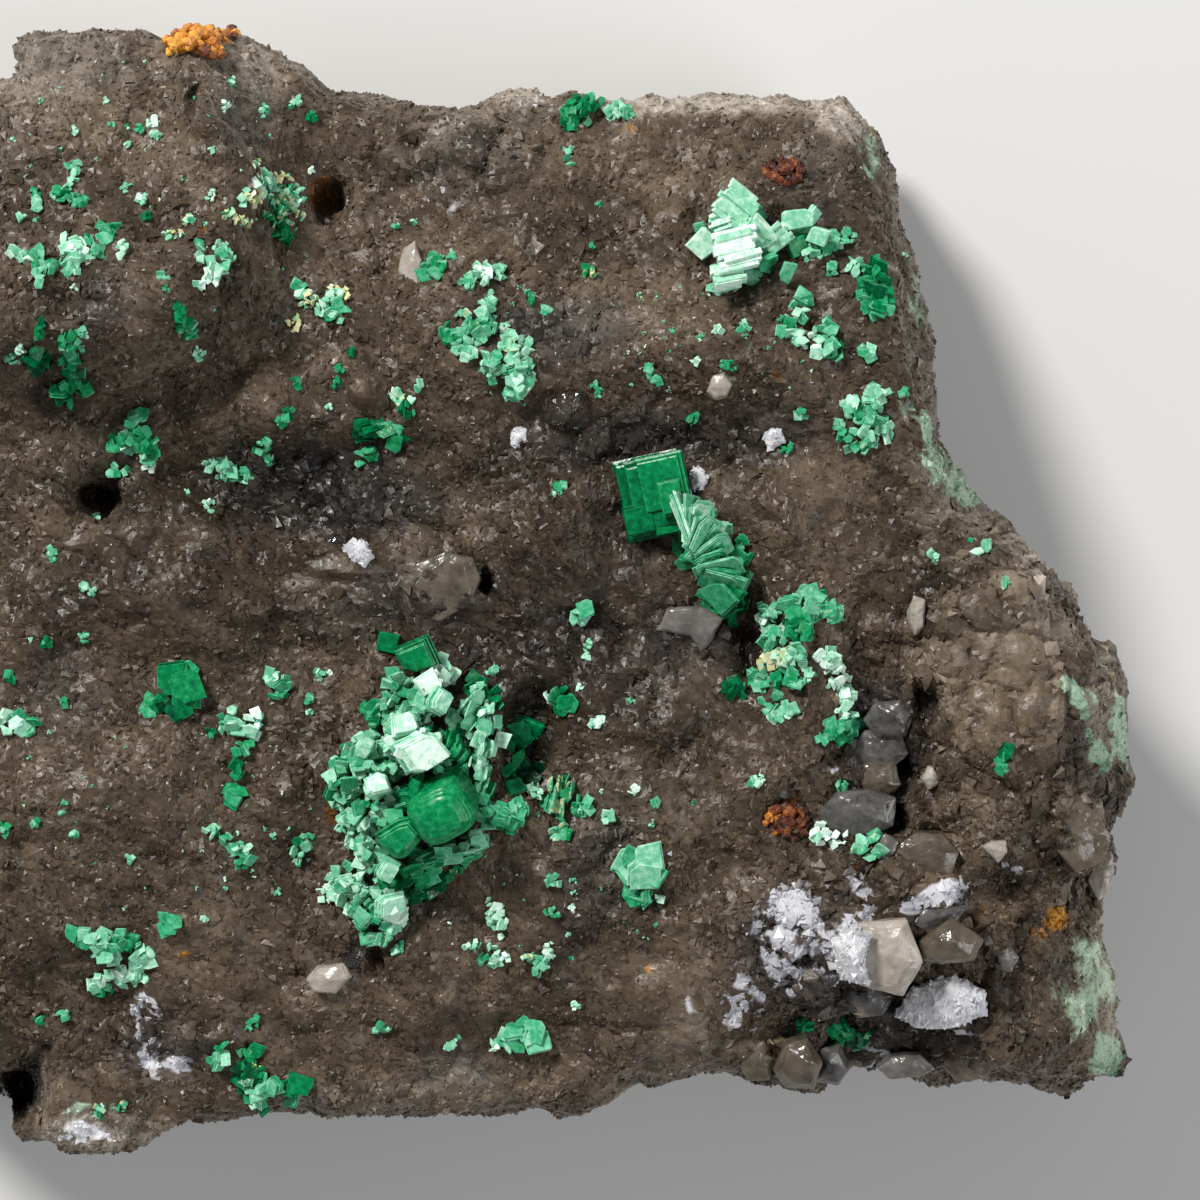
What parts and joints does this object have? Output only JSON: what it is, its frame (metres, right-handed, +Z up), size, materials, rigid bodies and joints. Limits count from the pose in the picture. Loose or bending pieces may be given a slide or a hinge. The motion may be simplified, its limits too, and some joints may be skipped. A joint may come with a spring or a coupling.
{
  "type": "torbernite specimen on quartz matrix",
  "caption": "Mineral specimen: green tabular torbernite clusters scattered over a grey-brown quartz druse with iron oxide crusts, lying flat on its broken back.",
  "frame": {"origin": "middle of the footprint, on the flat base that the specimen rests on", "axes": "+X along the specimen's longest side, +Y across it, +Z up out of the crystal druse"},
  "size_m": [0.0364, 0.0283, 0.0134],
  "materials": {
    "quartz_druse": "sugary grey-brown quartz, translucent and sparkling",
    "quartz_clear": "clear to smoky quartz crystal, vitreous",
    "quartz_frosted": "white quartz with a frosted, sparkling surface",
    "torbernite_emerald": "deep emerald green plates, vitreous",
    "torbernite_green": "mid green plates, vitreous to pearly",
    "torbernite_mint": "pale mint plates, pearly and partly dulled",
    "iron_oxide": "orange to brown-red crust, earthy"
  },
  "bodies": {
    "root": {"matrix": "quartz_druse", "torbernite_main_cluster": "torbernite_green", "torbernite_book_and_fan": "torbernite_emerald", "torbernite_crescent": "torbernite_green", "torbernite_mint_fan": "torbernite_mint", "torbernite_deep_tuft_right": "torbernite_emerald", "torbernite_star_right": "torbernite_green", "torbernite_bud_right": "torbernite_green", "torbernite_right_edge_tuft": "torbernite_green", "torbernite_top_edge_tuft": "torbernite_green", "torbernite_granular_trail": "torbernite_mint", "torbernite_crumb_upper": "torbernite_green", "torbernite_crusted_patch": "torbernite_mint", "torbernite_lobe_crust": "torbernite_mint", "torbernite_lobe_pale_chip": "torbernite_mint", "torbernite_lobe_left_chain": "torbernite_mint", "torbernite_lobe_left_spot": "torbernite_mint", "torbernite_lobe_middle_spot": "torbernite_green", "torbernite_lobe_foot": "torbernite_green", "torbernite_left_shade_tuft": "torbernite_emerald", "torbernite_left_star": "torbernite_green", "torbernite_left_saddle": "torbernite_green", "torbernite_platy_fan": "torbernite_emerald", "torbernite_groove_sprig": "torbernite_green", "torbernite_left_emerald": "torbernite_emerald", "torbernite_left_pair": "torbernite_mint", "torbernite_left_column": "torbernite_green", "torbernite_left_frame_chip": "torbernite_mint", "torbernite_lower_left_chips": "torbernite_green", "torbernite_main_side_chip": "torbernite_green", "torbernite_lower_left_single": "torbernite_green", "torbernite_lower_left_patch": "torbernite_green", "torbernite_bottom_edge_spray": "torbernite_emerald", "torbernite_tiny_square": "torbernite_emerald", "torbernite_triangle_plate": "torbernite_green", "torbernite_small_block": "torbernite_emerald", "torbernite_mixed_tuft": "torbernite_green", "torbernite_right_block": "torbernite_green", "torbernite_lower_middle_sprig": "torbernite_mint", "torbernite_lower_middle_pair": "torbernite_green", "torbernite_rim_chip": "torbernite_green", "torbernite_right_chip": "torbernite_emerald", "torbernite_pocket_pale_tuft": "torbernite_green", "torbernite_pocket_deep_tuft": "torbernite_emerald", "quartz_lens": "quartz_clear", "quartz_dark_pocket_crystal": "quartz_clear", "quartz_dark_point": "quartz_clear", "quartz_block_trio": "quartz_clear", "quartz_white_flake": "quartz_frosted", "quartz_pale_fragment": "quartz_clear", "quartz_grey_flake": "quartz_clear", "iron_oxide_top_lump": "iron_oxide", "iron_oxide_upper_crust": "iron_oxide", "iron_oxide_pocket_crust": "iron_oxide"}
  },
  "joints": []
}
